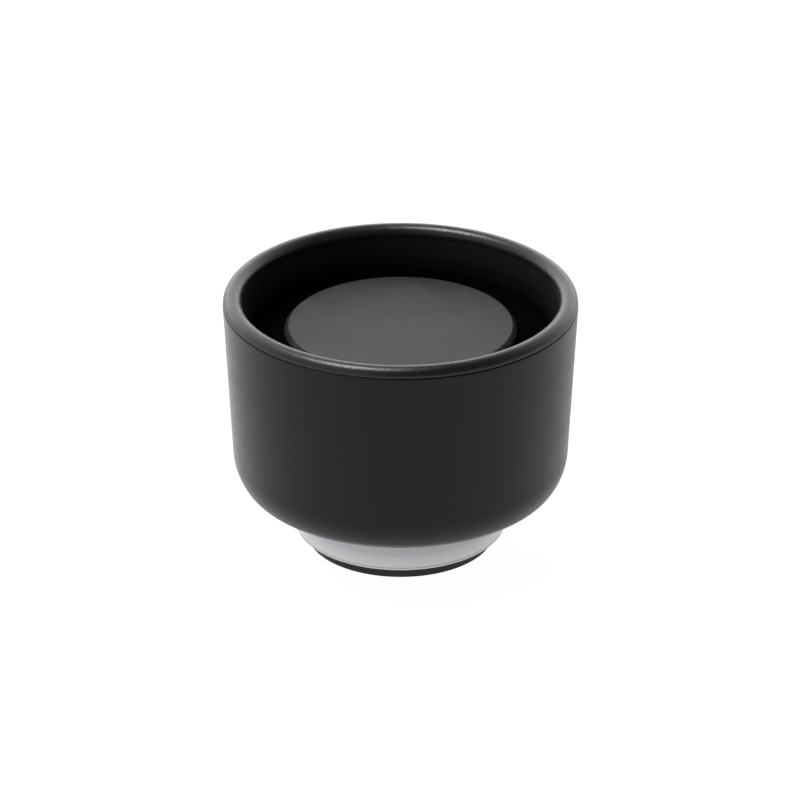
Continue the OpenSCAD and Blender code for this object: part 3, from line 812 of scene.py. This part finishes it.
bm = bmesh.new()
wire_sides, steps = 16, TURNS * 64
tube = []
for i in range(steps + 1):
    t = i / steps
    a = 2 * math.pi * TURNS * t
    z = SPR_Z0 + SPR_W + (SPR_Z1 - SPR_Z0 - 2 * SPR_W) * coil_height(t)
    w = SPR_W * (0.82 if i in (0, steps) else 1.0)
    tube.append([bm.verts.new(((SPR_R + w * math.cos(b)) * math.cos(a) * MM, (SPR_R + w * math.cos(b)) * math.sin(a) * MM, (z + w * math.sin(b)) * MM))
                 for b in [2 * math.pi * j / wire_sides for j in range(wire_sides)]])
for A, B in zip(tube[:-1], tube[1:]):
    for j in range(wire_sides):
        k = (j + 1) % wire_sides
        bm.faces.new((A[j], A[k], B[k], B[j]))
bm.faces.new(list(reversed(tube[0])))
bm.faces.new(tube[-1])
spring = finish_obj("wire_spring", bm, "lid", M_STEEL, "return_spring")
sharp(spring, 50)
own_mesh(spring)

# carried-over CAD nodes that stay as they are get real materials
for node, mat in {
    "backing_plate": M_STEEL, "screw_washers": M_STEEL, "threaded_inserts": M_BRASS, "base_gasket": M_GASKET,
    "guide_bush": M_ACETAL, "valve_stem": M_STEEL, "stem_nut": M_STEEL,
}.items():
    ob = NODES[node]
    if len(ob.data.materials) == 0:
        ob.data.materials.append(mat)
    for i in range(len(ob.data.materials)):
        ob.data.materials[i] = mat


# ------------------------------------------------------------------ stage
def floor_material():
    m, nt, bs = new_mat("floor_white")
    n = Net(nt)
    col = n.ramp(n.noise(3.0, 4.0, 0.5), [(0.3, (0.075, 0.075, 0.075)), (0.7, (0.085, 0.085, 0.085))])
    n.link(col, bs.inputs["Base Color"])
    n.link(n.range(n.noise(40.0, 4.0, 0.5), 0.3, 0.7, 0.85, 0.95), bs.inputs["Roughness"])
    bs.inputs["Specular IOR Level"].default_value = 0.0
    bs.inputs["Emission Color"].default_value = (1.0, 1.0, 1.0, 1.0)
    bs.inputs["Emission Strength"].default_value = 0.97
    return m


me = bpy.data.meshes.new("floor")
S = 6.0
me.from_pydata([(-S, -S, 0), (S, -S, 0), (S, S, 0), (-S, S, 0)], [], [(0, 1, 2, 3)])
me.materials.append(floor_material())
floor = bpy.data.objects.new("floor", me)
bpy.context.scene.collection.objects.link(floor)

# ------------------------------------------------------------------ light
world = bpy.data.worlds.new("studio")
bpy.context.scene.world = world
world.use_nodes = True
nt = world.node_tree
for n_ in list(nt.nodes):
    nt.nodes.remove(n_)
wo = nt.nodes.new("ShaderNodeOutputWorld")
bg = nt.nodes.new("ShaderNodeBackground")
nt.links.new(bg.outputs[0], wo.inputs[0])
tc = nt.nodes.new("ShaderNodeTexCoord")
sp = nt.nodes.new("ShaderNodeSeparateXYZ")
nt.links.new(tc.outputs["Generated"], sp.inputs[0])


def world_ramp(axis, lo_, hi_, stops):
    """Brightness against one component of the view direction."""
    mr_ = nt.nodes.new("ShaderNodeMapRange")
    mr_.inputs["From Min"].default_value = lo_
    mr_.inputs["From Max"].default_value = hi_
    nt.links.new(sp.outputs[axis], mr_.inputs["Value"])
    rp = nt.nodes.new("ShaderNodeValToRGB")
    nt.links.new(mr_.outputs[0], rp.inputs[0])
    cr = rp.color_ramp
    cr.interpolation = "EASE"
    while len(cr.elements) > 1:
        cr.elements.remove(cr.elements[-1])
    for i_, (p_, v_) in enumerate(stops):
        e_ = cr.elements[0] if i_ == 0 else cr.elements.new(p_)
        e_.position = p_
        e_.color = (v_, v_, v_, 1.0)
    return rp.outputs[0]


def blend(mode, a_, b_):
    m_ = nt.nodes.new("ShaderNodeMix")
    m_.data_type = "RGBA"
    m_.blend_type = mode
    m_.clamp_result = False
    m_.inputs[0].default_value = 1.0
    nt.links.new(a_, m_.inputs[6])
    nt.links.new(b_, m_.inputs[7])
    return m_.outputs[2]


# bright low backdrop behind, a soft fill from the left, dark towards the viewer and overhead
back = blend("MULTIPLY", world_ramp(1, -1.0, 1.0, [(0.0, 0.0), (0.45, 0.02), (0.53, 0.25), (0.70, 0.78), (0.82, 1.6), (0.92, 2.2), (1.0, 2.3)]),
             world_ramp(2, 0.0, 1.0, [(0.0, 0.9), (0.10, 1.0), (0.50, 1.0), (0.63, 0.72), (0.76, 0.34), (0.90, 0.22), (1.0, 0.14)]))
fill = blend("MULTIPLY", world_ramp(0, -1.0, 1.0, [(0.0, 0.65), (0.25, 0.65), (0.40, 0.25), (0.50, 0.06), (0.60, 0.05), (0.80, 0.11), (1.0, 0.14)]),
             world_ramp(2, 0.0, 1.0, [(0.0, 1.0), (0.70, 1.0), (0.85, 0.5), (1.0, 0.4)]))
nt.links.new(blend("ADD", back, fill), bg.inputs[0])
bg.inputs[1].default_value = 1.0


def area(name, loc, target, size, power, color=(1, 1, 1), size_y=None):
    d = bpy.data.lights.new(name, "AREA")
    d.energy = power
    d.color = color
    d.shape = "RECTANGLE" if size_y else "SQUARE"
    d.size = size
    if size_y:
        d.size_y = size_y
    o = bpy.data.objects.new(name, d)
    bpy.context.scene.collection.objects.link(o)
    o.location = loc
    o.rotation_euler = (Vector(target) - Vector(loc)).to_track_quat("-Z", "Y").to_euler()
    return o


area("key_overhead", (-0.39, -0.03, 1.32), (0, 0, 0.06), 0.55, 16.5)

sc = bpy.context.scene
sc.view_settings.view_transform = "Standard"
sc.view_settings.look = "None"
sc.view_settings.exposure = 0.0
sc.view_settings.gamma = 1.0
